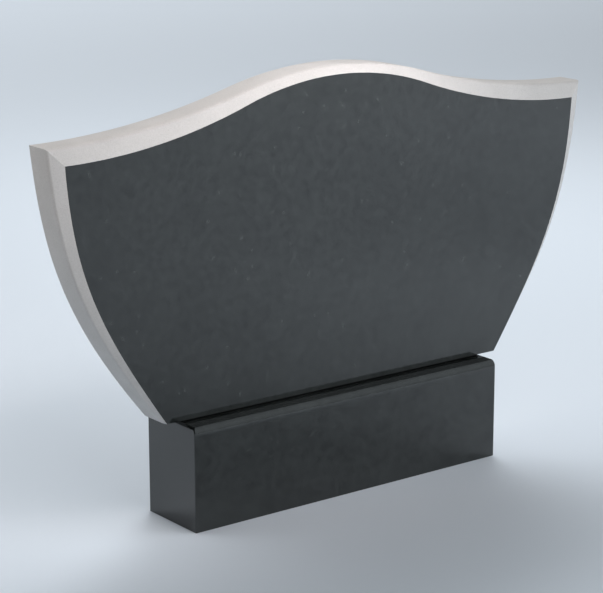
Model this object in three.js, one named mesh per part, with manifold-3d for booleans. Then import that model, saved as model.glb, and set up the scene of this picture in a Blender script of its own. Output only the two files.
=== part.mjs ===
// A headstone of two pieces: a broad memorial slab with an ogee top and inward curving sides,
// bedded on a plain rectangular plinth. Millimetres, +Z up, +X along the width, front towards -Y.

import * as THREE from 'three';
import { mergeVertices, toCreasedNormals } from 'three/addons/utils/BufferGeometryUtils.js';
import Module from 'manifold-3d';

// Plinth: a plain block with small rounded corners. Its top edges are eased, softly at the front
// and back and more tightly at the ends: the higher the power, the later the surface turns in.
const PLINTH_WIDTH = 584;
const PLINTH_DEPTH = 122;
const PLINTH_HEIGHT = 161;
const PLINTH_CORNER = 2;
const EASING_DROP = 14;
const FRONT_EASING = 5;
const FRONT_POWER = 2.5;
const END_EASING = 2.5;
const END_POWER = 6;

// Slab: a flat stone with a bevel around its polished front
const SLAB_THICKNESS = 54;
const FRONT_SETBACK = 33;
const BEVEL_DEPTH = 8;

// Bed joint: the low foot under the slab, cut back from its faces
const BED_HEIGHT = 3.2;
const BED_SETBACK = 5;
const BED_OVERLAP = 10;

// Outlines of one half of the slab, measured from its axis and from the top of the plinth.
// A side is one curve that leaves the foot at a lean from the vertical and reaches the corner
// at another. The top is a hollow shoulder that is level at the corner and a round crest.
const OUTER_OUTLINE = {
  footHalfWidth: 320,
  footLean: 39,
  footPull: 210,
  cornerHalfWidth: 500,
  cornerHeight: 425,
  cornerLean: 6,
  cornerPull: 163,
  crestHeight: 495.5,
  crestShare: 0.338,
};
const FACE_OUTLINE = {
  footHalfWidth: 317.5,
  footLean: 34.5,
  footPull: 189,
  cornerHalfWidth: 476,
  cornerHeight: 400.5,
  cornerLean: 3.5,
  cornerPull: 163,
  crestHeight: 482.5,
  crestShare: 0.354,
};

// Facets along each curve
const SIDE_STEPS = 24;
const SHOULDER_STEPS = 18;
const CREST_STEPS = 12;
const CORNER_STEPS = 6;
const EASING_STEPS = 7;

// Edges that turn less than this are shaded smooth
const CREASE_ANGLE = THREE.MathUtils.degToRad(12);

const POLISHED_STONE = { color: 0x3b4041, roughness: 0.12, metalness: 0 };

const FRONT_PLANE = -PLINTH_DEPTH / 2 + FRONT_SETBACK;
const BEVEL_PLANE = FRONT_PLANE + BEVEL_DEPTH;
const BACK_PLANE = FRONT_PLANE + SLAB_THICKNESS;

const wasm = await Module();
wasm.setup();

/** Points of the curved side, from the foot up to the corner. */
function sidePoints(outline) {
  const footLean = THREE.MathUtils.degToRad(outline.footLean);
  const cornerLean = THREE.MathUtils.degToRad(outline.cornerLean);
  const foot = new THREE.Vector2(outline.footHalfWidth, BED_HEIGHT);
  const corner = new THREE.Vector2(outline.cornerHalfWidth, outline.cornerHeight);
  const footHandle = new THREE.Vector2(Math.sin(footLean), Math.cos(footLean))
    .multiplyScalar(outline.footPull)
    .add(foot);
  const cornerHandle = new THREE.Vector2(Math.sin(cornerLean), Math.cos(cornerLean))
    .multiplyScalar(-outline.cornerPull)
    .add(corner);
  return new THREE.CubicBezierCurve(foot, footHandle, cornerHandle, corner).getPoints(SIDE_STEPS);
}

/** Points of the ogee, from just inside the corner to the crest on the axis: two arcs that meet. */
function topPoints(outline) {
  const rise = outline.crestHeight - outline.cornerHeight;
  const radiusSum = (outline.cornerHalfWidth ** 2 + rise ** 2) / (2 * rise);
  const crestRadius = radiusSum * outline.crestShare;
  const shoulderRadius = radiusSum - crestRadius;
  const sweep = Math.asin(outline.cornerHalfWidth / radiusSum);
  const points = [];
  for (let step = 1; step <= SHOULDER_STEPS; step += 1) {
    const angle = (sweep * step) / SHOULDER_STEPS;
    points.push(new THREE.Vector2(
      outline.cornerHalfWidth - shoulderRadius * Math.sin(angle),
      outline.cornerHeight + shoulderRadius * (1 - Math.cos(angle)),
    ));
  }
  for (let step = 1; step <= CREST_STEPS; step += 1) {
    const angle = sweep * (1 - step / CREST_STEPS);
    points.push(new THREE.Vector2(
      crestRadius * Math.sin(angle),
      outline.crestHeight - crestRadius * (1 - Math.cos(angle)),
    ));
  }
  return points;
}

/** The whole closed outline, counterclockwise as seen from the front, starting at the right foot. */
function outlinePoints(outline) {
  const right = [...sidePoints(outline), ...topPoints(outline)];
  const left = right.slice(0, -1).reverse().map((point) => new THREE.Vector2(-point.x, point.y));
  return [...right, ...left];
}

/** A closed body from rings of equal length, each ring a flat outline at its own depth, front first. */
function ringBody(rings) {
  const count = rings[0].points.length;
  const positions = rings.flatMap((ring) => ring.points.flatMap((point) => [point.x, ring.depth, point.y]));
  const triangles = [];
  for (let ring = 0; ring < rings.length - 1; ring += 1) {
    for (let index = 0; index < count; index += 1) {
      const next = (index + 1) % count;
      const a = ring * count + index;
      const b = ring * count + next;
      const c = (ring + 1) * count + next;
      const d = (ring + 1) * count + index;
      triangles.push(a, d, b, b, d, c);
    }
  }
  const last = (rings.length - 1) * count;
  THREE.ShapeUtils.triangulateShape(rings[0].points, []).forEach(([a, b, c]) => {
    triangles.push(a, b, c);
  });
  THREE.ShapeUtils.triangulateShape(rings.at(-1).points, []).forEach(([a, b, c]) => {
    triangles.push(last + a, last + c, last + b);
  });
  const geometry = new THREE.BufferGeometry();
  geometry.setAttribute('position', new THREE.Float32BufferAttribute(positions, 3));
  geometry.setIndex(triangles);
  return geometry;
}

/** The plinth's plan with its rounded corners, at a share of the rise of the easing. */
function planPoints(rise) {
  const centreX = PLINTH_WIDTH / 2 - PLINTH_CORNER - END_EASING * rise ** END_POWER;
  const centreY = PLINTH_DEPTH / 2 - PLINTH_CORNER - FRONT_EASING * rise ** FRONT_POWER;
  const points = [];
  for (let corner = 0; corner < 4; corner += 1) {
    const signX = corner === 0 || corner === 3 ? 1 : -1;
    const signY = corner < 2 ? 1 : -1;
    for (let step = 0; step <= CORNER_STEPS; step += 1) {
      const angle = (corner + step / CORNER_STEPS) * (Math.PI / 2);
      points.push(new THREE.Vector2(
        signX * centreX + PLINTH_CORNER * Math.cos(angle),
        signY * centreY + PLINTH_CORNER * Math.sin(angle),
      ));
    }
  }
  return points;
}

/** The plinth, with its underside at zero: upright sides that lean in more and more to a flat top. */
function plinthGeometry() {
  const rings = [{ points: planPoints(0), depth: 0 }];
  for (let step = 0; step <= EASING_STEPS; step += 1) {
    const rise = step / EASING_STEPS;
    rings.push({ points: planPoints(rise), depth: PLINTH_HEIGHT - EASING_DROP * (1 - rise) });
  }
  return toGeometry(toSolid(ringBody(rings).rotateX(Math.PI / 2)));
}

/** A three.js geometry as a solid that can be joined. */
function toSolid(geometry) {
  const bare = geometry.clone();
  bare.deleteAttribute('normal');
  bare.deleteAttribute('uv');
  const merged = mergeVertices(bare);
  return new wasm.Manifold(new wasm.Mesh({
    numProp: 3,
    vertProperties: new Float32Array(merged.attributes.position.array),
    triVerts: new Uint32Array(merged.index.array),
  }));
}

/** A joined solid as a three.js geometry. */
function toGeometry(solid) {
  const mesh = solid.getMesh();
  const geometry = new THREE.BufferGeometry();
  geometry.setAttribute('position', new THREE.BufferAttribute(mesh.vertProperties, 3));
  geometry.setIndex(new THREE.BufferAttribute(mesh.triVerts, 1));
  return toCreasedNormals(geometry, CREASE_ANGLE);
}

/** The slab with its bevelled front, joined with the low foot that it beds on. Its underside is at zero. */
function slabGeometry() {
  const face = outlinePoints(FACE_OUTLINE);
  const outer = outlinePoints(OUTER_OUTLINE);
  const stone = ringBody([
    { points: face, depth: FRONT_PLANE },
    { points: outer, depth: BEVEL_PLANE },
    { points: outer, depth: BACK_PLANE },
  ]);
  const bed = new THREE.BoxGeometry(
    PLINTH_WIDTH - 2 * BED_SETBACK,
    SLAB_THICKNESS - 2 * BED_SETBACK,
    BED_HEIGHT + BED_OVERLAP,
  );
  bed.translate(0, (FRONT_PLANE + BACK_PLANE) / 2, (BED_HEIGHT + BED_OVERLAP) / 2);
  return toGeometry(toSolid(stone).add(toSolid(bed)));
}

/** A named piece of the polished stone. */
function piece(name, geometry) {
  const mesh = new THREE.Mesh(geometry, new THREE.MeshStandardMaterial(POLISHED_STONE));
  mesh.name = name;
  return mesh;
}

const plinth = piece('plinth', plinthGeometry());

const slab = piece('memorial_slab', slabGeometry());
slab.position.z = PLINTH_HEIGHT;

const headstone = new THREE.Group();
headstone.add(plinth, slab);

export default headstone;
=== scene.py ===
"""A headstone: a polished slab with pale honed edges, bedded on a polished block plinth.

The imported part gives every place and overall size. This script builds the finished meshes in the
same frame, in metres, dresses each surface as stone, and sets up the studio and the camera.
"""

import logging
import math
from dataclasses import dataclass, fields
from enum import Enum
from typing import Any, Optional, Union

import bmesh
import bpy
from mathutils import Matrix, Vector


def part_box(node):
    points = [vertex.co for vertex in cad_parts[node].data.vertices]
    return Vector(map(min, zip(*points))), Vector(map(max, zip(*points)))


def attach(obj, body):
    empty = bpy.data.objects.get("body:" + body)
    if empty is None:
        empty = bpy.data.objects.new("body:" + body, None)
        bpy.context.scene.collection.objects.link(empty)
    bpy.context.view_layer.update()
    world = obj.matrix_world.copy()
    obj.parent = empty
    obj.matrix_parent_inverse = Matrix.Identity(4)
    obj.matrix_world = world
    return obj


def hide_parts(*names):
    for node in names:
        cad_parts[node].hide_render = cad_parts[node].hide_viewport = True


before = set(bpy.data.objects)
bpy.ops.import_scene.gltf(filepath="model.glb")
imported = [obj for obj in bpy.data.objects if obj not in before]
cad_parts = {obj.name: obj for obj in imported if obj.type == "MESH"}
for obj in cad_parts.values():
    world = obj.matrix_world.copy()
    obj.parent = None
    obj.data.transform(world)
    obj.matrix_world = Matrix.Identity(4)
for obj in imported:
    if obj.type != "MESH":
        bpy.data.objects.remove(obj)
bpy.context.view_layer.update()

LOG = logging.getLogger("headstone")
BODY = "root"
MM = 0.001
NO_OFFSET = (0.0, 0.0, 0.0)

# A normal this near to an axis is flat on to it
FLAT_ON = 0.999

# Keeps a whole number clear of the rounding just below it
INDEX_NUDGE = 0.01

Colour = tuple[float, float, float]
Value = Union["Socket", float, int, str, tuple, list, bpy.types.ID]


class Socket:
    """One output of a node. Its operators add Math nodes to the same tree."""

    def __init__(self, nodes: "NodeBuilder", output: bpy.types.NodeSocket) -> None:
        """Keeps the builder and the node's output."""
        self.nodes = nodes
        self.output = output

    def of(self, name: str) -> "Socket":
        """Returns another output of the same node, by name."""
        return Socket(self.nodes, self.output.node.outputs[name])

    def math(self, operation: str, first: Value, second: Value = 0.0, clamp: bool = False) -> "Socket":
        """Adds one Math node.

        Args:
            operation: the Math node's operation.
            first: its first value or link.
            second: its second value or link.
            clamp: whether the result is held between 0 and 1.

        Returns:
            The node's result.
        """
        settings = {"operation": operation, "use_clamp": clamp}
        return self.nodes.node("ShaderNodeMath", settings, {0: first, 1: second})

    def __add__(self, other: Value) -> "Socket":
        """Returns self + other."""
        return self.math("ADD", self, other)

    def __radd__(self, other: Value) -> "Socket":
        """Returns other + self."""
        return self.math("ADD", other, self)

    def __sub__(self, other: Value) -> "Socket":
        """Returns self - other."""
        return self.math("SUBTRACT", self, other)

    def __rsub__(self, other: Value) -> "Socket":
        """Returns other - self."""
        return self.math("SUBTRACT", other, self)

    def __mul__(self, other: Value) -> "Socket":
        """Returns self * other."""
        return self.math("MULTIPLY", self, other)

    def __rmul__(self, other: Value) -> "Socket":
        """Returns other * self."""
        return self.math("MULTIPLY", other, self)

    def __truediv__(self, other: Value) -> "Socket":
        """Returns self / other."""
        return self.math("DIVIDE", self, other)

    def __gt__(self, other: Value) -> "Socket":
        """Returns 1 where self is greater than other, and 0 elsewhere."""
        return self.math("GREATER_THAN", self, other)

    def __lt__(self, other: Value) -> "Socket":
        """Returns 1 where self is less than other, and 0 elsewhere."""
        return self.math("LESS_THAN", self, other)

    def __abs__(self) -> "Socket":
        """Returns the absolute value."""
        return self.math("ABSOLUTE", self)

    def clamped(self) -> "Socket":
        """Returns self held between 0 and 1."""
        return self.math("ADD", self, 0.0, clamp=True)

    def sin(self) -> "Socket":
        """Returns the sine of self."""
        return self.math("SINE", self)

    def cos(self) -> "Socket":
        """Returns the cosine of self."""
        return self.math("COSINE", self)


class NodeBuilder:
    """Adds nodes to one tree and links them."""

    def __init__(self, tree: bpy.types.NodeTree) -> None:
        """Keeps the tree and empties it."""
        self.tree = tree
        tree.nodes.clear()

    @staticmethod
    def _find(sockets: Any, key: Union[str, int]) -> bpy.types.NodeSocket:
        """Returns the socket with that number, identifier or name."""
        if isinstance(key, int):
            return sockets[key]
        for socket in sockets:
            if socket.identifier == key:
                return socket
        return sockets[key]

    def node(
        self,
        kind: str,
        settings: Optional[dict[str, Any]] = None,
        inputs: Optional[dict[Union[str, int], Value]] = None,
        output: Union[str, int] = 0,
    ) -> Socket:
        """Adds a node, sets its properties, then its sockets.

        Args:
            kind: the node's type.
            settings: its properties. "items" is how many inputs an Index Switch has.
            inputs: values or links, by a socket's number, identifier or name. A list holds several
                links for one socket.
            output: the number, identifier or name of the output that is wanted.

        Returns:
            That output, or a socket that stands for the node where it has none.
        """
        made = self.tree.nodes.new(kind)
        for name, value in (settings or {}).items():
            if name == "items":
                while len(made.index_switch_items) < value:
                    made.index_switch_items.new()
            else:
                setattr(made, name, value)
        for key, value in (inputs or {}).items():
            socket = self._find(made.inputs, key)
            if isinstance(value, (Socket, list)):
                for source in value if isinstance(value, list) else [value]:
                    self.tree.links.new(source.output, socket)
            elif isinstance(value, tuple) and socket.type == "RGBA" and len(value) == 3:
                socket.default_value = (*value, 1.0)
            else:
                socket.default_value = value
        if not made.outputs:
            return Socket(self, made.inputs[0])
        return Socket(self, self._find(made.outputs, output))

    def vector_math(self, operation: str, first: Value, second: Value, output: str = "Vector") -> Socket:
        """Adds one Vector Math node.

        Args:
            operation: the node's operation.
            first: its first vector.
            second: its second vector.
            output: the output that is wanted, Vector or Value.

        Returns:
            That output.
        """
        return self.node("ShaderNodeVectorMath", {"operation": operation}, {0: first, 1: second}, output)

    def mix_colour(self, factor: Value, first: Value, second: Value) -> Socket:
        """Mixes two colours.

        Args:
            factor: how much of the second shows.
            first: the colour at factor 0.
            second: the colour at factor 1.

        Returns:
            The mixed colour.
        """
        inputs = {"Factor_Float": factor, "A_Color": first, "B_Color": second}
        return self.node("ShaderNodeMix", {"data_type": "RGBA"}, inputs, "Result_Color")

    def noise(self, coords: Value, size: float, detail: float = 2.0) -> Socket:
        """Adds a noise whose features are about that size.

        Args:
            coords: where it is read.
            size: the features' size in metres.
            detail: how many finer layers it has.

        Returns:
            The noise value, around 0.5.
        """
        inputs = {"Vector": coords, "Scale": 1.0 / size, "Detail": detail}
        return self.node("ShaderNodeTexNoise", {}, inputs, "Fac")


class Cut(Enum):
    """How an unpolished face was left."""

    HONED = "honed"
    SAWN = "sawn"


class Finish:
    """A surface finish that makes its own material."""

    name = "finish"

    def _dress(self, nodes: NodeBuilder) -> dict[Union[str, int], Value]:
        """Adds the finish's nodes and returns the values for the Principled shader's sockets."""
        raise NotImplementedError

    def material(self) -> bpy.types.Material:
        """Returns the finish's material, made on first use."""
        found = bpy.data.materials.get(self.name)
        if found is not None:
            return found
        material = bpy.data.materials.new(self.name)
        material.use_nodes = True
        nodes = NodeBuilder(material.node_tree)
        shader = nodes.node("ShaderNodeBsdfPrincipled", {}, self._dress(nodes))
        nodes.node("ShaderNodeOutputMaterial", {}, {"Surface": shader})
        return material


@dataclass(frozen=True)
class PolishedStone(Finish):
    """Dark, dense stone with a mirror polish, fine grain and a few short pale crystals."""

    name: str = "polished_dark_stone"
    dark: Colour = (0.0030, 0.0038, 0.0036)
    light: Colour = (0.0180, 0.0214, 0.0210)
    crystal: Colour = (0.024, 0.0285, 0.0275)
    roughness: float = 0.12
    roughness_spread: float = 0.06
    refraction: float = 1.65
    grain: float = 2.6 * MM
    mottle: float = 13 * MM
    cloud: float = 55 * MM
    crystal_spacing: float = 24 * MM
    crystal_half_length: float = 13.0 * MM
    crystal_half_width: float = 3.6 * MM
    crystal_share: float = 0.5
    crystal_faintest: float = 0.35
    crystal_gain: float = 1.3
    mottle_weight: float = 1.1
    cloud_weight: float = 0.7

    def _crystals(self, nodes: NodeBuilder, coords: Socket) -> Socket:
        """Adds the scattered crystals.

        Args:
            nodes: the material's builder.
            coords: the object coordinates.

        Returns:
            How much of a crystal shows, from 0 to 1.
        """
        inputs = {"Vector": coords, "Scale": 1.0 / self.crystal_spacing}
        centre = nodes.node("ShaderNodeTexVoronoi", {"feature": "F1"}, inputs, "Position")
        chance = centre.of("Color")
        local = nodes.vector_math("SUBTRACT", coords, centre)
        turn = nodes.vector_math("MULTIPLY", chance, (math.tau, math.tau, math.tau))
        turned = nodes.node(
            "ShaderNodeVectorRotate",
            {"rotation_type": "EULER_XYZ"},
            {"Vector": local, "Rotation": turn},
        )
        shrink = (1 / self.crystal_half_length, 1 / self.crystal_half_width, 1 / self.crystal_half_width)
        shaped = nodes.vector_math("MULTIPLY", turned, shrink)
        reach = nodes.vector_math("LENGTH", shaped, NO_OFFSET, "Value")
        parts = nodes.node("ShaderNodeSeparateColor", {}, {"Color": chance}, "Blue")
        kept = parts > 1.0 - self.crystal_share
        strength = self.crystal_faintest + (1.0 - self.crystal_faintest) * parts.of("Green")
        return (1.0 - reach).clamped() * kept * strength

    def _dress(self, nodes: NodeBuilder) -> dict[Union[str, int], Value]:
        """Adds grain, mottling, clouding and crystals, and returns the shader's values."""
        coords = nodes.node("ShaderNodeTexCoord", {}, {}, "Object")
        grain = nodes.noise(coords, self.grain, detail=4.0)
        mottle = nodes.noise(coords, self.mottle, detail=1.0)
        cloud = nodes.noise(coords, self.cloud, detail=2.0)
        tone = (grain + self.mottle_weight * (mottle - 0.5) + self.cloud_weight * (cloud - 0.5)).clamped()
        ground = nodes.mix_colour(tone, self.dark, self.light)
        crystals = self._crystals(nodes, coords)
        colour = nodes.mix_colour((crystals * self.crystal_gain).clamped(), ground, self.crystal)
        return {
            "Base Color": colour,
            "Roughness": self.roughness + self.roughness_spread * (grain - 0.5),
            "IOR": self.refraction,
        }


@dataclass(frozen=True)
class HonedStone(Finish):
    """The same stone unpolished: pale, matt and finely speckled."""

    name: str = "honed_pale_stone"
    cut: Cut = Cut.HONED
    pale: Colour = (0.555, 0.549, 0.543)
    shade: Colour = (0.395, 0.394, 0.389)
    speck: Colour = (0.225, 0.231, 0.229)
    roughness: float = 0.5
    roughness_spread: float = 0.14
    refraction: float = 1.45
    grain: float = 2.0 * MM
    cloud: float = 45 * MM
    grain_weight: float = 0.9
    cloud_weight: float = 0.6
    tone_drop: float = 0.25
    speck_size: float = 1.2 * MM
    speck_level: float = 0.62
    speck_gain: float = 5.0
    speck_strength: float = 0.55
    relief: float = 0.12 * MM
    relief_strength: float = 0.5
    blade_centre: tuple[float, float, float] = (0.2, 0.0, -0.9)
    stroke: float = 14 * MM
    stroke_drift: float = 135 * MM
    stroke_tint: float = 0.10
    stroke_relief: float = 0.6

    def _strokes(self, nodes: NodeBuilder, coords: Socket) -> Socket:
        """Adds the wide arcs that a saw blade leaves.

        Args:
            nodes: the material's builder.
            coords: the object coordinates.

        Returns:
            A wave from 0 to 1 across the arcs.
        """
        offset = nodes.vector_math("SUBTRACT", coords, self.blade_centre)
        radius = nodes.vector_math("LENGTH", offset, NO_OFFSET, "Value")
        drift = nodes.noise(coords, self.stroke_drift, detail=1.0) * self.stroke
        return (((radius + drift) * (math.tau / self.stroke)).sin() + 1.0) * 0.5

    def _dress(self, nodes: NodeBuilder) -> dict[Union[str, int], Value]:
        """Adds speckle, clouding and tool marks, and returns the shader's values."""
        coords = nodes.node("ShaderNodeTexCoord", {}, {}, "Object")
        grain = nodes.noise(coords, self.grain, detail=5.0)
        cloud = nodes.noise(coords, self.cloud, detail=3.0)
        tone = (grain * self.grain_weight + cloud * self.cloud_weight - self.tone_drop).clamped()
        ground = nodes.mix_colour(tone, self.shade, self.pale)
        fine = nodes.noise(coords, self.speck_size, detail=1.0)
        specks = ((fine - self.speck_level) * self.speck_gain).clamped()
        colour = nodes.mix_colour(specks * self.speck_strength, ground, self.speck)
        height = grain
        if self.cut is Cut.SAWN:
            strokes = self._strokes(nodes, coords)
            colour = nodes.mix_colour(strokes * self.stroke_tint, colour, self.speck)
            height = grain + strokes * self.stroke_relief
        normal = nodes.node(
            "ShaderNodeBump",
            {},
            {"Strength": self.relief_strength, "Distance": self.relief, "Height": height},
            "Normal",
        )
        return {
            "Base Color": colour,
            "Roughness": self.roughness + self.roughness_spread * (grain - 0.5),
            "IOR": self.refraction,
            "Normal": normal,
        }


@dataclass(frozen=True)
class SettingBed(Finish):
    """The dark compound in the joint between slab and plinth."""

    name: str = "dark_setting_bed"
    dark: Colour = (0.004, 0.004, 0.0045)
    light: Colour = (0.012, 0.012, 0.0125)
    roughness: float = 0.75
    grain: float = 1.5 * MM

    def _dress(self, nodes: NodeBuilder) -> dict[Union[str, int], Value]:
        """Adds a fine grain and returns the shader's values."""
        coords = nodes.node("ShaderNodeTexCoord", {}, {}, "Object")
        grain = nodes.noise(coords, self.grain, detail=3.0)
        return {
            "Base Color": nodes.mix_colour(grain, self.dark, self.light),
            "Roughness": self.roughness,
        }


@dataclass(frozen=True)
class PaleFloor(Finish):
    """A plain pale studio floor."""

    name: str = "pale_studio_floor"
    colour: Colour = (0.60, 0.66, 0.725)
    roughness: float = 0.8
    sheen: float = 0.2

    def _dress(self, nodes: NodeBuilder) -> dict[Union[str, int], Value]:
        """Returns the shader's plain values."""
        return {
            "Base Color": self.colour,
            "Roughness": self.roughness,
            "Specular IOR Level": self.sheen,
        }


POLISHED = PolishedStone()
HONED = HonedStone()
SAWN = HonedStone(name="sawn_stone", cut=Cut.SAWN, pale=(0.36, 0.37, 0.37), shade=(0.24, 0.25, 0.25))
BED = SettingBed()
FLOOR = PaleFloor()


def finish_piece(piece: bpy.types.Object, slot: str, *nodes: str) -> None:
    """Makes a piece ride on the part and hides the CAD nodes that it stands for.

    Args:
        piece: the finished object.
        slot: the record's material slot. It is not used.
        nodes: the CAD nodes that the piece replaces.
    """
    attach(piece, BODY)
    if nodes:
        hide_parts(*nodes)
    LOG.info("%s: %d faces", piece.name, len(piece.data.polygons))


def new_piece(name: str, mesh: bpy.types.Mesh) -> bpy.types.Object:
    """Returns an object for the mesh, at the origin and in the scene."""
    piece = bpy.data.objects.new(name, mesh)
    bpy.context.scene.collection.objects.link(piece)
    return piece


def block_mesh(name: str, low: Vector, high: Vector, arris: float, steps: int) -> bpy.types.Mesh:
    """Builds a closed block with rounded edges.

    Args:
        name: the mesh's name.
        low: the lowest corner.
        high: the highest corner.
        arris: the radius on its edges.
        steps: the facets across each edge.

    Returns:
        The mesh, in place.
    """
    shape = bmesh.new()
    bmesh.ops.create_cube(shape, size=1.0)
    for vertex in shape.verts:
        for axis in range(3):
            vertex.co[axis] = high[axis] if vertex.co[axis] > 0 else low[axis]
    bmesh.ops.bevel(
        shape,
        geom=shape.edges[:],
        offset=arris,
        segments=steps,
        profile=0.5,
        affect="EDGES",
        clamp_overlap=True,
    )
    bmesh.ops.recalc_face_normals(shape, faces=shape.faces[:])
    mesh = bpy.data.meshes.new(name)
    shape.to_mesh(mesh)
    shape.free()
    return mesh


@dataclass(frozen=True)
class HalfOutline:
    """One half of an outline of the slab, from its foot up to the crest, in metres and radians."""

    foot_half_width: float
    foot_lean: float
    foot_pull: float
    corner_half_width: float
    corner_height: float
    corner_lean: float
    corner_pull: float
    crest_height: float
    crest_share: float

    @staticmethod
    def input_names() -> list[str]:
        """Returns the node inputs' names, one for each field."""
        return [field.name.replace("_", " ").title() for field in fields(HalfOutline)]

    def input_values(self) -> list[float]:
        """Returns the fields' values in the same order."""
        return [getattr(self, field.name) for field in fields(self)]


@dataclass
class MemorialSlab:
    """The slab: a polished front within a bevel, soft honed edges and a sawn back."""

    node: str = "memorial_slab"
    slot: str = "slab_stone"
    bed_height: float = 3.2 * MM
    bed_setback: float = 5.0 * MM
    bed_half_length: float = 287.0 * MM
    bed_rise: float = 2.0 * MM
    bed_arris: float = 0.8 * MM
    bed_arris_steps: int = 2
    bevel_depth: float = 8.0 * MM
    front_arris: float = 6.0 * MM
    front_arris_share: float = 0.18
    back_arris: float = 1.2 * MM
    back_arris_share: float = 0.05
    side_steps: int = 56
    shoulder_steps: int = 40
    crest_steps: int = 28
    front_arris_steps: int = 8
    back_arris_steps: int = 3
    sharp_angle: float = math.radians(15)
    weld: float = 0.01 * MM

    def __post_init__(self) -> None:
        """Reads the slab's place and overall size from the frame."""
        self.low, self.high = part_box(self.node)
        self.outer = HalfOutline(
            foot_half_width=320.0 * MM,
            foot_lean=math.radians(39.0),
            foot_pull=210.0 * MM,
            corner_half_width=self.high.x,
            corner_height=425.0 * MM,
            corner_lean=math.radians(6.0),
            corner_pull=163.0 * MM,
            crest_height=self.high.z - self.low.z,
            crest_share=0.338,
        )
        self.face = HalfOutline(
            foot_half_width=317.5 * MM,
            foot_lean=math.radians(34.5),
            foot_pull=189.0 * MM,
            corner_half_width=476.0 * MM,
            corner_height=400.5 * MM,
            corner_lean=math.radians(3.5),
            corner_pull=163.0 * MM,
            crest_height=482.5 * MM,
            crest_share=0.354,
        )

    @property
    def half_steps(self) -> int:
        """The steps from a foot to the crest."""
        return self.side_steps + self.shoulder_steps + self.crest_steps

    def _section(self) -> list[tuple[float, float, float, float, float]]:
        """Works out the edge's section, from the polished front round to the back.

        Returns:
            For each row, how far it lies from the face outline to the outer one, and its depth as
            shares of the bevel's depth, the slab's thickness, the front arris and the back arris.
        """
        rows = [(0.0, 0.0, 0.0, 0.0, 0.0)]
        for step in range(self.front_arris_steps + 1):
            along = step / self.front_arris_steps
            reached = 1.0 - (1.0 - along) ** 2 * self.front_arris_share
            rows.append((reached, reached, 0.0, along**2, 0.0))
        for step in range(self.back_arris_steps + 1):
            along = step / self.back_arris_steps
            reached = 1.0 - along**2 * self.back_arris_share
            rows.append((reached, 0.0, 1.0, 0.0, -((1.0 - along) ** 2)))
        return rows

    def _half_outline_tree(self) -> bpy.types.NodeTree:
        """Builds the group that gives a point of a half outline, for a step counted from the foot."""
        tree = bpy.data.node_groups.new("half_outline", "GeometryNodeTree")
        for name in ("Step", "Base Height", *HalfOutline.input_names()):
            tree.interface.new_socket(name, in_out="INPUT", socket_type="NodeSocketFloat")
        for name in ("Across", "Up"):
            tree.interface.new_socket(name, in_out="OUTPUT", socket_type="NodeSocketFloat")
        nodes = NodeBuilder(tree)
        step = nodes.node("NodeGroupInput", {}, {}, "Step")
        base = step.of("Base Height")
        given = [step.of(name) for name in HalfOutline.input_names()]
        foot_x, foot_lean, foot_pull, corner_x, corner_z = given[:5]
        corner_lean, corner_pull, crest_z, crest_share = given[5:]
        on_side = (step / self.side_steps).clamped()
        on_shoulder = ((step - self.side_steps) / self.shoulder_steps).clamped()
        on_crest = ((step - self.side_steps - self.shoulder_steps) / self.crest_steps).clamped()

        left = 1.0 - on_side
        foot_weight = left * left * left
        foot_handle_weight = 3.0 * left * left * on_side
        corner_handle_weight = 3.0 * left * on_side * on_side
        corner_weight = on_side * on_side * on_side
        side_x = (
            foot_weight * foot_x
            + foot_handle_weight * (foot_x + foot_pull * foot_lean.sin())
            + corner_handle_weight * (corner_x - corner_pull * corner_lean.sin())
            + corner_weight * corner_x
        )
        side_z = (
            foot_weight * base
            + foot_handle_weight * (base + foot_pull * foot_lean.cos())
            + corner_handle_weight * (corner_z - corner_pull * corner_lean.cos())
            + corner_weight * corner_z
        )

        rise = crest_z - corner_z
        radius_sum = (corner_x * corner_x + rise * rise) / (2.0 * rise)
        crest_radius = radius_sum * crest_share
        shoulder_radius = radius_sum - crest_radius
        sweep = step.math("ARCSINE", corner_x / radius_sum)
        shoulder_angle = sweep * on_shoulder
        crest_angle = sweep * (1.0 - on_crest)
        across = side_x - shoulder_radius * shoulder_angle.sin() - crest_radius * (
            sweep.sin() - crest_angle.sin()
        )
        up = side_z + shoulder_radius * (1.0 - shoulder_angle.cos()) + crest_radius * (
            crest_angle.cos() - sweep.cos()
        )
        nodes.node("NodeGroupOutput", {}, {"Across": across, "Up": up})
        return tree

    def _form_tree(self) -> tuple[bpy.types.NodeTree, dict[str, float]]:
        """Builds the tree that makes the whole slab.

        Returns:
            The tree, and the value of each of its inputs by the socket's identifier.
        """
        half = self._half_outline_tree()
        tree = bpy.data.node_groups.new("memorial_slab_form", "GeometryNodeTree")
        tree.interface.new_socket("Geometry", in_out="OUTPUT", socket_type="NodeSocketGeometry")
        sizes = {
            "Front Plane": self.low.y,
            "Foot Plane": self.low.z,
            "Base Height": self.bed_height,
            "Thickness": self.high.y - self.low.y,
            "Bevel Depth": self.bevel_depth,
            "Front Arris": self.front_arris,
            "Back Arris": self.back_arris,
        }
        for title, outline in (("Face", self.face), ("Outer", self.outer)):
            for name, value in zip(HalfOutline.input_names(), outline.input_values()):
                sizes[f"{title} {name}"] = value
        values = {}
        for name, value in sizes.items():
            socket = tree.interface.new_socket(name, in_out="INPUT", socket_type="NodeSocketFloat")
            values[socket.identifier] = value

        nodes = NodeBuilder(tree)
        given = nodes.node("NodeGroupInput", {}, {}, "Front Plane")
        count = self.half_steps

        def outline_point(title: str, step: Socket) -> Socket:
            """Returns the Across output of the half outline's group, at that step."""
            links = {name: given.of(f"{title} {name}") for name in HalfOutline.input_names()}
            links.update({"Step": step, "Base Height": given.of("Base Height")})
            return nodes.node("GeometryNodeGroup", {"node_tree": half}, links, "Across")

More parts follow.
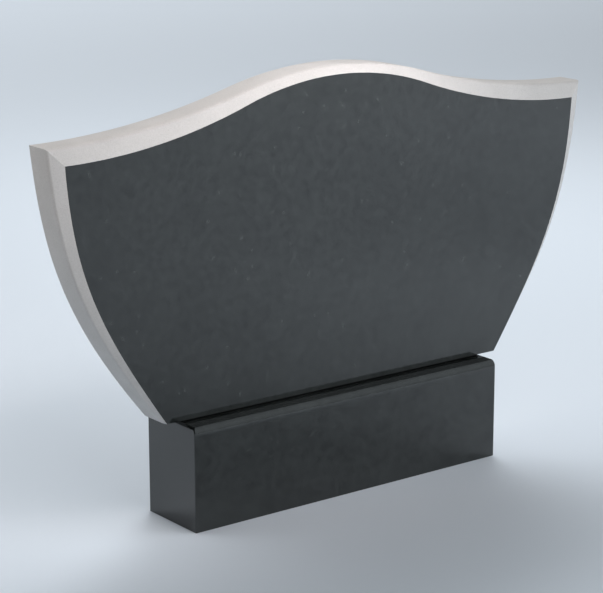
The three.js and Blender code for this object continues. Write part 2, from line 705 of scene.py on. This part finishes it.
        def grid(columns: int, rows: int) -> tuple[Socket, Socket, Socket]:
            """Returns a grid's mesh, and each point's column and row."""
            inputs = {
                "Size X": columns - 1.0,
                "Size Y": rows - 1.0,
                "Vertices X": columns,
                "Vertices Y": rows,
            }
            mesh = nodes.node("GeometryNodeMeshGrid", {}, inputs, "Mesh")
            position = nodes.node("GeometryNodeInputPosition")
            place = nodes.node("ShaderNodeSeparateXYZ", {}, {0: position}, "X")
            return mesh, place + (columns - 1) / 2, place.of("Y") + (rows - 1) / 2

        def shaped(mesh: Socket, across: Socket, depth: Value, up: Socket) -> Socket:
            """Returns the mesh with its points moved to those places on the slab."""
            inputs = {"X": across, "Y": given + depth, "Z": given.of("Foot Plane") + up}
            place = nodes.node("ShaderNodeCombineXYZ", {}, inputs)
            return nodes.node("GeometryNodeSetPosition", {}, {"Geometry": mesh, "Position": place})

        def blended(step: Socket, share: Value) -> tuple[Socket, Socket]:
            """Returns the place across and up of a point between the face outline and the outer one."""
            face = outline_point("Face", step)
            outer = outline_point("Outer", step)
            across = face + (outer - face) * share
            up = face.of("Up") + (outer.of("Up") - face.of("Up")) * share
            return across, up

        section = self._section()
        mesh, station, row = grid(2 * count + 2, len(section))
        level = row + INDEX_NUDGE
        picks = [
            nodes.node(
                "GeometryNodeIndexSwitch",
                {"data_type": "FLOAT", "items": len(section)},
                {"Index": level, **{1 + index: entry for index, entry in enumerate(column)}},
            )
            for column in zip(*section)
        ]
        share, bevel_part, thickness_part, front_part, back_part = picks
        depth = (
            bevel_part * given.of("Bevel Depth")
            + thickness_part * given.of("Thickness")
            + front_part * given.of("Front Arris")
            + back_part * given.of("Back Arris")
        )
        # The stations run up the right half and down the left, and the last one repeats the first
        reach = count - abs(count - station)
        step = reach.math("MAXIMUM", reach, 0.0)
        mirrored = (station > count) * (station < 2 * count + 0.5)
        across, up = blended(step, share)
        edge = shaped(mesh, across * (1.0 - 2.0 * mirrored), depth, up)
        edge = nodes.node("GeometryNodeFlipFaces", {}, {"Mesh": edge})

        def cap(share_out: float, depth_in: Value) -> Socket:
            """Returns a flat face across the slab, laid from its foot to its crest."""
            cap_mesh, cap_step, cap_side = grid(count + 1, 2)
            cap_across, cap_up = blended(cap_step, share_out)
            return shaped(cap_mesh, cap_across * (2.0 * cap_side - 1.0), depth_in, cap_up)

        front = nodes.node("GeometryNodeFlipFaces", {}, {"Mesh": cap(0.0, 0.0)})
        back = cap(1.0 - self.back_arris_share, given.of("Thickness"))

        joined = nodes.node("GeometryNodeJoinGeometry", {}, {"Geometry": [edge, front, back]})
        inputs = {"Geometry": joined, "Distance": self.weld}
        welded = nodes.node("GeometryNodeMergeByDistance", {}, inputs)
        smooth = nodes.node("GeometryNodeSetShadeSmooth", {"domain": "FACE"}, {"Geometry": welded})
        bend = nodes.node("GeometryNodeInputMeshEdgeAngle", {}, {}, "Unsigned Angle")
        inputs = {"Geometry": smooth, "Selection": bend > self.sharp_angle, "Shade Smooth": False}
        creased = nodes.node("GeometryNodeSetShadeSmooth", {"domain": "EDGE"}, inputs)
        real = nodes.node("GeometryNodeRealizeInstances", {}, {"Geometry": creased})
        normal = nodes.node("GeometryNodeInputNormal")
        facing = nodes.node("ShaderNodeSeparateXYZ", {}, {0: normal}, "Y")
        inputs = {"Geometry": real, "Material": HONED.material()}
        dressed = nodes.node("GeometryNodeSetMaterial", {}, inputs)
        rough = (facing > FLAT_ON) + (facing.of("Z") < -FLAT_ON)
        for finish, chosen in ((POLISHED, facing < -FLAT_ON), (SAWN, rough > 0.5)):
            inputs = {"Geometry": dressed, "Selection": chosen, "Material": finish.material()}
            dressed = nodes.node("GeometryNodeSetMaterial", {}, inputs)
        nodes.node("NodeGroupOutput", {}, {"Geometry": dressed})
        return tree, values

    def build_stone(self) -> bpy.types.Object:
        """Makes the slab's mesh from its node tree."""
        tree, values = self._form_tree()
        piece = new_piece("slab", bpy.data.meshes.new("slab_start"))
        modifier = piece.modifiers.new("form", "NODES")
        modifier.node_group = tree
        for identifier, value in values.items():
            modifier[identifier] = value
        bpy.context.view_layer.update()
        shown = piece.evaluated_get(bpy.context.evaluated_depsgraph_get())
        mesh = bpy.data.meshes.new_from_object(shown)
        piece.modifiers.remove(modifier)
        piece.data = mesh
        mesh.name = "slab"
        return piece

    def build_bed(self) -> bpy.types.Object:
        """Makes the low bed that the slab stands on."""
        low = Vector((-self.bed_half_length, self.low.y + self.bed_setback, self.low.z))
        top = self.low.z + self.bed_height + self.bed_rise
        high = Vector((self.bed_half_length, self.high.y - self.bed_setback, top))
        mesh = block_mesh("setting_bed", low, high, self.bed_arris, self.bed_arris_steps)
        piece = new_piece("setting_bed", mesh)
        piece.data.materials.append(BED.material())
        return piece

    def build(self) -> None:
        """Builds and dresses the slab and its bed."""
        finish_piece(self.build_stone(), self.slot, self.node)
        finish_piece(self.build_bed(), self.slot)


@dataclass
class Plinth:
    """The block that carries the slab: small corners, eased top edges, polished but for its underside."""

    node: str = "plinth"
    slot: str = "plinth_stone"
    corner: float = 2.0 * MM
    easing_drop: float = 14.0 * MM
    front_easing: float = 5.0 * MM
    front_power: float = 2.5
    end_easing: float = 2.5 * MM
    end_power: float = 6.0
    foot_arris: float = 1.0 * MM
    top_arris: float = 0.8 * MM
    corner_steps: int = 10
    easing_steps: int = 14
    arris_steps: int = 4

    def __post_init__(self) -> None:
        """Reads the block's place and size from the frame."""
        self.low, self.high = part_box(self.node)

    def _column(self, corner: int, angle: float) -> list[tuple[Vector, Vector]]:
        """Works out one upright line of the surface, from the underside to the top.

        Args:
            corner: the corner it belongs to, counted counterclockwise from the right of the back.
            angle: the direction that the line faces, seen from above.

        Returns:
            Each point and its outward normal.
        """
        sign = Vector((1.0 if corner in (0, 3) else -1.0, 1.0 if corner < 2 else -1.0, 0.0))
        outward = Vector((math.cos(angle), math.sin(angle), 0.0))
        centre = Vector((
            self.high.x - self.corner if sign.x > 0 else self.low.x + self.corner,
            self.high.y - self.corner if sign.y > 0 else self.low.y + self.corner,
            0.0,
        ))
        column = []

        def drawn_in(rise: float) -> Vector:
            """Says how far the surface has turned in at a share of the easing's rise."""
            across = -sign.x * self.end_easing * rise**self.end_power
            along = -sign.y * self.front_easing * rise**self.front_power
            return Vector((across, along, 0.0))

        def lean_at(rise: float) -> float:
            """Says how far the surface leans back at a share of the easing's rise."""
            end_slope = self.end_easing * self.end_power * rise ** (self.end_power - 1)
            front_slope = self.front_easing * self.front_power * rise ** (self.front_power - 1)
            slope = abs(outward.x) * end_slope + abs(outward.y) * front_slope
            return math.atan(slope / self.easing_drop)

        def add(shift: Vector, height: float, tilt: float) -> None:
            """Adds a point of the column."""
            point = centre + outward * self.corner + shift
            normal = outward * math.cos(tilt) + Vector((0.0, 0.0, math.sin(tilt)))
            column.append((Vector((point.x, point.y, height)), normal))

        for step in range(self.arris_steps + 1):
            tilt = (step / self.arris_steps - 1.0) * math.pi / 2
            shift = outward * self.foot_arris * (math.cos(tilt) - 1)
            add(shift, self.low.z + self.foot_arris * (1 + math.sin(tilt)), tilt)
        lean = lean_at(1.0)
        shoulder = self.high.z - self.top_arris * (1 - math.sin(lean))
        for step in range(self.easing_steps + 1):
            rise = step / self.easing_steps
            add(drawn_in(rise), shoulder - self.easing_drop * (1 - rise), lean_at(rise))
        for step in range(1, self.arris_steps + 1):
            tilt = lean + (math.pi / 2 - lean) * step / self.arris_steps
            shift = drawn_in(1.0) + outward * self.top_arris * (math.cos(tilt) - math.cos(lean))
            add(shift, self.high.z - self.top_arris * (1 - math.sin(tilt)), tilt)
        return column

    def build(self) -> None:
        """Builds and dresses the block."""
        columns = []
        for corner in range(4):
            for step in range(self.corner_steps + 1):
                angle = (corner + step / self.corner_steps) * math.pi / 2
                columns.append(self._column(corner, angle))
        count = len(columns)
        rows = [entry for level in zip(*columns) for entry in level]
        points = [tuple(point) for point, _ in rows]
        normals = [normal for _, normal in rows]
        faces = [tuple(reversed(range(count))), tuple(range(len(points) - count, len(points)))]
        for here in range(len(points) - count):
            beside = here + 1 if (here + 1) % count else here + 1 - count
            faces.append((here, beside, beside + count, here + count))
        mesh = bpy.data.meshes.new("plinth_block")
        mesh.from_pydata(points, [], faces)
        mesh.materials.append(POLISHED.material())
        mesh.materials.append(SAWN.material())
        mesh.polygons[0].material_index = 1
        mesh.shade_smooth()
        mesh.normals_split_custom_set_from_vertices(normals)
        finish_piece(new_piece("plinth_block", mesh), self.slot, self.node)


WARM: Colour = (1.0, 0.915, 0.895)
COOL: Colour = (0.85, 0.94, 1.0)
AMBER: Colour = (1.0, 0.82, 0.68)


@dataclass(frozen=True)
class SoftBox:
    """One soft studio light that points at a place."""

    name: str
    place: tuple[float, float, float]
    aim: tuple[float, float, float]
    size: tuple[float, float]
    power: float
    spread: float = 180.0
    colour: Colour = (1.0, 1.0, 1.0)
    mirrored: bool = False

    def build(self) -> None:
        """Adds the light. Its panel is never in view, and only a mirrored one shows in the polish."""
        light = bpy.data.lights.new(self.name, "AREA")
        light.shape = "RECTANGLE"
        light.size, light.size_y = self.size
        light.energy = self.power
        light.spread = math.radians(self.spread)
        light.color = self.colour
        lamp = bpy.data.objects.new(self.name, light)
        lamp.location = self.place
        lamp.visible_camera = False
        lamp.visible_glossy = self.mirrored
        towards = Vector(self.aim) - Vector(self.place)
        lamp.rotation_euler = towards.to_track_quat("-Z", "Y").to_euler()
        bpy.context.scene.collection.objects.link(lamp)


@dataclass
class Studio:
    """The floor, the lights and the camera."""

    floor_reach: float = 20.0
    sky: Colour = (0.95, 0.97, 1.0)
    sky_strength: float = 0.02
    camera_azimuth: float = math.radians(-37.376)
    camera_elevation: float = math.radians(14.474)
    camera_roll: float = math.radians(-0.07)
    camera_distance: float = 3.2895
    camera_target: tuple[float, float, float] = (-0.0514, 0.0, 0.3070)
    image_width: float = 603.0
    focal_pixels: float = 2179.6
    sensor_width: float = 36.0
    lights: tuple[SoftBox, ...] = (
        SoftBox("crest_near", (0.07, -0.38, 0.97), (0.0, 0.0, 0.63), (0.2, 0.2), 0.24, 70.0, WARM),
        SoftBox("crest_wide", (0.1, -0.7, 1.25), (0.0, 0.0, 0.60), (0.6, 0.3), 0.86, 70.0, WARM),
        SoftBox("crest_left", (-0.35, -0.7, 1.2), (-0.3, 0.0, 0.60), (0.5, 0.3), 0.61, 70.0, WARM),
        SoftBox("front_low", (0.0, -3.4, 0.9), (0.0, 0.0, 0.45), (2.0, 0.6), 13.2, 90.0),
        SoftBox(
            "side_card", (2.17, -2.27, 1.595), (0.07, -0.03, 0.255), (3.4, 3.2), 10.7, 120.0, COOL, True
        ),
        SoftBox("right_wide", (3.2, -2.4, 2.2), (3.2, -2.4, 0.0), (2.5, 2.5), 88.0),
        SoftBox("right_near", (1.0, -0.75, 0.6), (1.0, -0.75, 0.0), (0.4, 0.4), 1.65),
        SoftBox("left_floor", (-1.3, 0.7, 1.1), (-1.1, 0.6, 0.0), (0.8, 0.8), 6.0),
        SoftBox("left_edge", (-2.2, 0.3, 1.05), (-0.5, 0.0, 0.68), (0.4, 0.4), 0.33, 36.0, AMBER),
        SoftBox("back_right", (1.4, 1.6, 2.4), (0.3, 0.3, 0.0), (1.5, 1.5), 43.0),
        SoftBox("back_far", (1.5, 7.0, 5.0), (1.5, 7.0, 0.0), (12.0, 8.0), 634.0),
        SoftBox("front_far", (0.0, -9.0, 5.0), (0.0, -9.0, 0.0), (16.0, 8.0), 480.0, 80.0),
    )

    def build_floor(self) -> None:
        """Adds the pale floor under the plinth."""
        reach = self.floor_reach
        mesh = bpy.data.meshes.new("studio_floor")
        corners = [(-reach, -reach, 0), (reach, -reach, 0), (reach, reach, 0), (-reach, reach, 0)]
        mesh.from_pydata(corners, [], [(0, 1, 2, 3)])
        mesh.materials.append(FLOOR.material())
        new_piece("studio_floor", mesh)

    def build_sky(self) -> None:
        """Sets the even light around the studio."""
        world = bpy.data.worlds.new("studio_sky")
        world.use_nodes = True
        nodes = NodeBuilder(world.node_tree)
        inputs = {"Color": self.sky, "Strength": self.sky_strength}
        light = nodes.node("ShaderNodeBackground", {}, inputs)
        nodes.node("ShaderNodeOutputWorld", {}, {"Surface": light})
        bpy.context.scene.world = world
        bpy.context.scene.view_settings.view_transform = "Standard"

    def build_camera(self) -> None:
        """Adds the camera at the photograph's viewing angle."""
        camera = bpy.data.cameras.new("camera")
        camera.sensor_fit = "HORIZONTAL"
        camera.sensor_width = self.sensor_width
        camera.lens = self.focal_pixels / self.image_width * self.sensor_width
        back = Vector((
            math.sin(self.camera_azimuth) * math.cos(self.camera_elevation),
            -math.cos(self.camera_azimuth) * math.cos(self.camera_elevation),
            math.sin(self.camera_elevation),
        ))
        view = bpy.data.objects.new("camera", camera)
        turn = back.to_track_quat("Z", "Y").to_matrix() @ Matrix.Rotation(self.camera_roll, 3, "Z")
        place = Vector(self.camera_target) + back * self.camera_distance
        view.matrix_world = Matrix.LocRotScale(place, turn.to_quaternion(), None)
        bpy.context.scene.collection.objects.link(view)
        bpy.context.scene.camera = view

    def build(self) -> None:
        """Builds the whole studio."""
        self.build_camera()
        self.build_floor()
        self.build_sky()
        for light in self.lights:
            light.build()


def main() -> None:
    """Builds the headstone and the studio."""
    logging.basicConfig(level=logging.INFO, format="%(name)s: %(message)s")
    MemorialSlab().build()
    Plinth().build()
    Studio().build()


if __name__ == "__main__":
    main()
